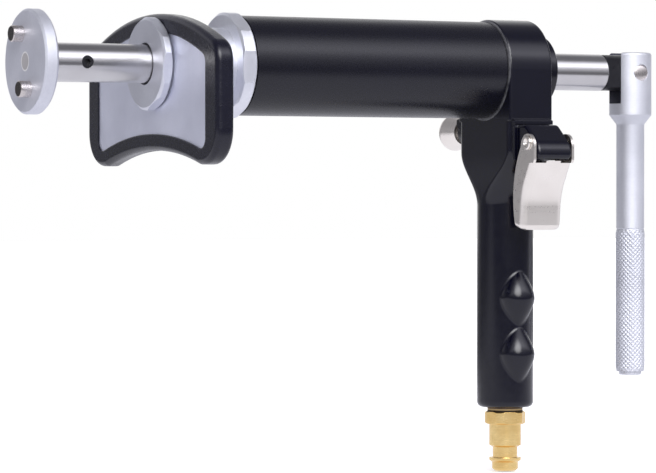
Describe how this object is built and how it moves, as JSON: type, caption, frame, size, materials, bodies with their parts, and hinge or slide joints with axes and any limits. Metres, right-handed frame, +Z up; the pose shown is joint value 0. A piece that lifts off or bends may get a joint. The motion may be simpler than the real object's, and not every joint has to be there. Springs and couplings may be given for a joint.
{
  "type": "pneumatic brake piston retractor",
  "caption": "Air-driven pistol-grip tool that presses and winds back brake caliper pistons, with a pinned adaptor disc, reaction plate, trigger and folding crank.",
  "frame": {"origin": "centre of the adaptor disc's front face, midway between the two drive pins", "axes": "+X back along the spindle towards the crank, +Z up away from the grip, -Y the trigger side"},
  "size_m": [0.2555, 0.1054, 0.164],
  "materials": {
    "zinc": "satin zinc plate",
    "plate_zinc": "smooth satin zinc plate",
    "rod_steel": "polished ground steel",
    "pin_steel": "bare ground steel",
    "coarse_black": "fine-textured satin black paint",
    "smooth_black": "smooth satin black paint",
    "surround_rubber": "semi-gloss moulded black rubber",
    "black_oxide": "blackened steel",
    "crank_alloy": "satin turned finish with a knurled grip",
    "nickel": "satin bright nickel",
    "brass": "turned brass",
    "bronze": "sintered bronze",
    "seal_rubber": "black nitrile rubber",
    "seal_plastic": "filled guide plastic",
    "piston_alloy": "turned alloy",
    "spring_steel": "spring steel"
  },
  "bodies": {
    "tool_body": {"plate_core": "plate_zinc", "plate_surround": "surround_rubber", "plate_nut": "zinc", "front_cap": "zinc", "front_wiper": "seal_rubber", "front_bush": "bronze", "front_gasket": "seal_rubber", "barrel": "coarse_black", "rear_gasket": "seal_rubber", "stop_tube": "piston_alloy", "return_spring": "spring_steel", "grip_housing": "smooth_black", "rear_gland": "smooth_black", "rear_bush": "bronze", "rear_seal": "seal_rubber", "trigger_bracket": "smooth_black", "trigger_pin": "rod_steel", "valve_sleeve": "brass", "valve_spring": "spring_steel", "release_collar": "smooth_black", "release_spring": "spring_steel", "inlet_filter": "bronze", "inlet_washer": "brass", "air_plug": "brass"},
    "ram": {"piston": "piston_alloy", "piston_seal": "seal_rubber", "piston_guide": "seal_plastic"},
    "spindle": {"spindle_rod": "rod_steel", "adaptor_disc": "zinc", "adaptor_pins": "pin_steel", "adaptor_shank": "pin_steel", "adaptor_ring": "seal_rubber", "grub_screw": "black_oxide", "rod_clips": "spring_steel", "thrust_washers": "bronze", "hinge_tang": "black_oxide"},
    "crank": {"crank_handle": "crank_alloy", "crank_pin": "rod_steel"},
    "trigger": {"trigger_lever": "nickel"},
    "valve": {"valve_stem": "rod_steel", "stem_rings": "seal_rubber"},
    "release": {"release_button": "nickel", "release_clip": "spring_steel"}
  },
  "joints": [
    {"name": "ram_slide", "type": "slide", "parent": "tool_body", "child": "ram", "axis": [-1, 0, 0], "range_m": [0, 0.027], "stiffness_N_per_m": 600, "springref_m": -0.022, "deforming": ["return_spring"]},
    {"name": "spindle_spin", "type": "hinge", "parent": "ram", "child": "spindle", "pos_m": [0, 0, 0], "axis": [1, 0, 0], "continuous": true},
    {"name": "crank_fold", "type": "hinge", "parent": "spindle", "child": "crank", "pos_m": [0.24375, 0, 0], "axis": [0, -1, 0], "range_deg": [0, 180]},
    {"name": "trigger_pull", "type": "hinge", "parent": "tool_body", "child": "trigger", "pos_m": [0.18957, -0.0293, -0.0266], "axis": [1, 0, 0], "range_deg": [0, 7], "stiffness_Nm_per_rad": 0.08, "springref_deg": -14.32},
    {"name": "valve_push", "type": "slide", "parent": "tool_body", "child": "valve", "axis": [0, 1, 0], "range_m": [0, 0.0017], "deforming": ["valve_spring"]},
    {"name": "release_press", "type": "slide", "parent": "tool_body", "child": "release", "axis": [0, -1, 0], "range_m": [0, 0.003], "stiffness_N_per_m": 400, "springref_m": -0.003, "deforming": ["release_spring"]}
  ],
  "couplings": [
    {"joint": "valve_push", "follows": "trigger_pull", "m_per_rad": 0.0138}
  ]
}
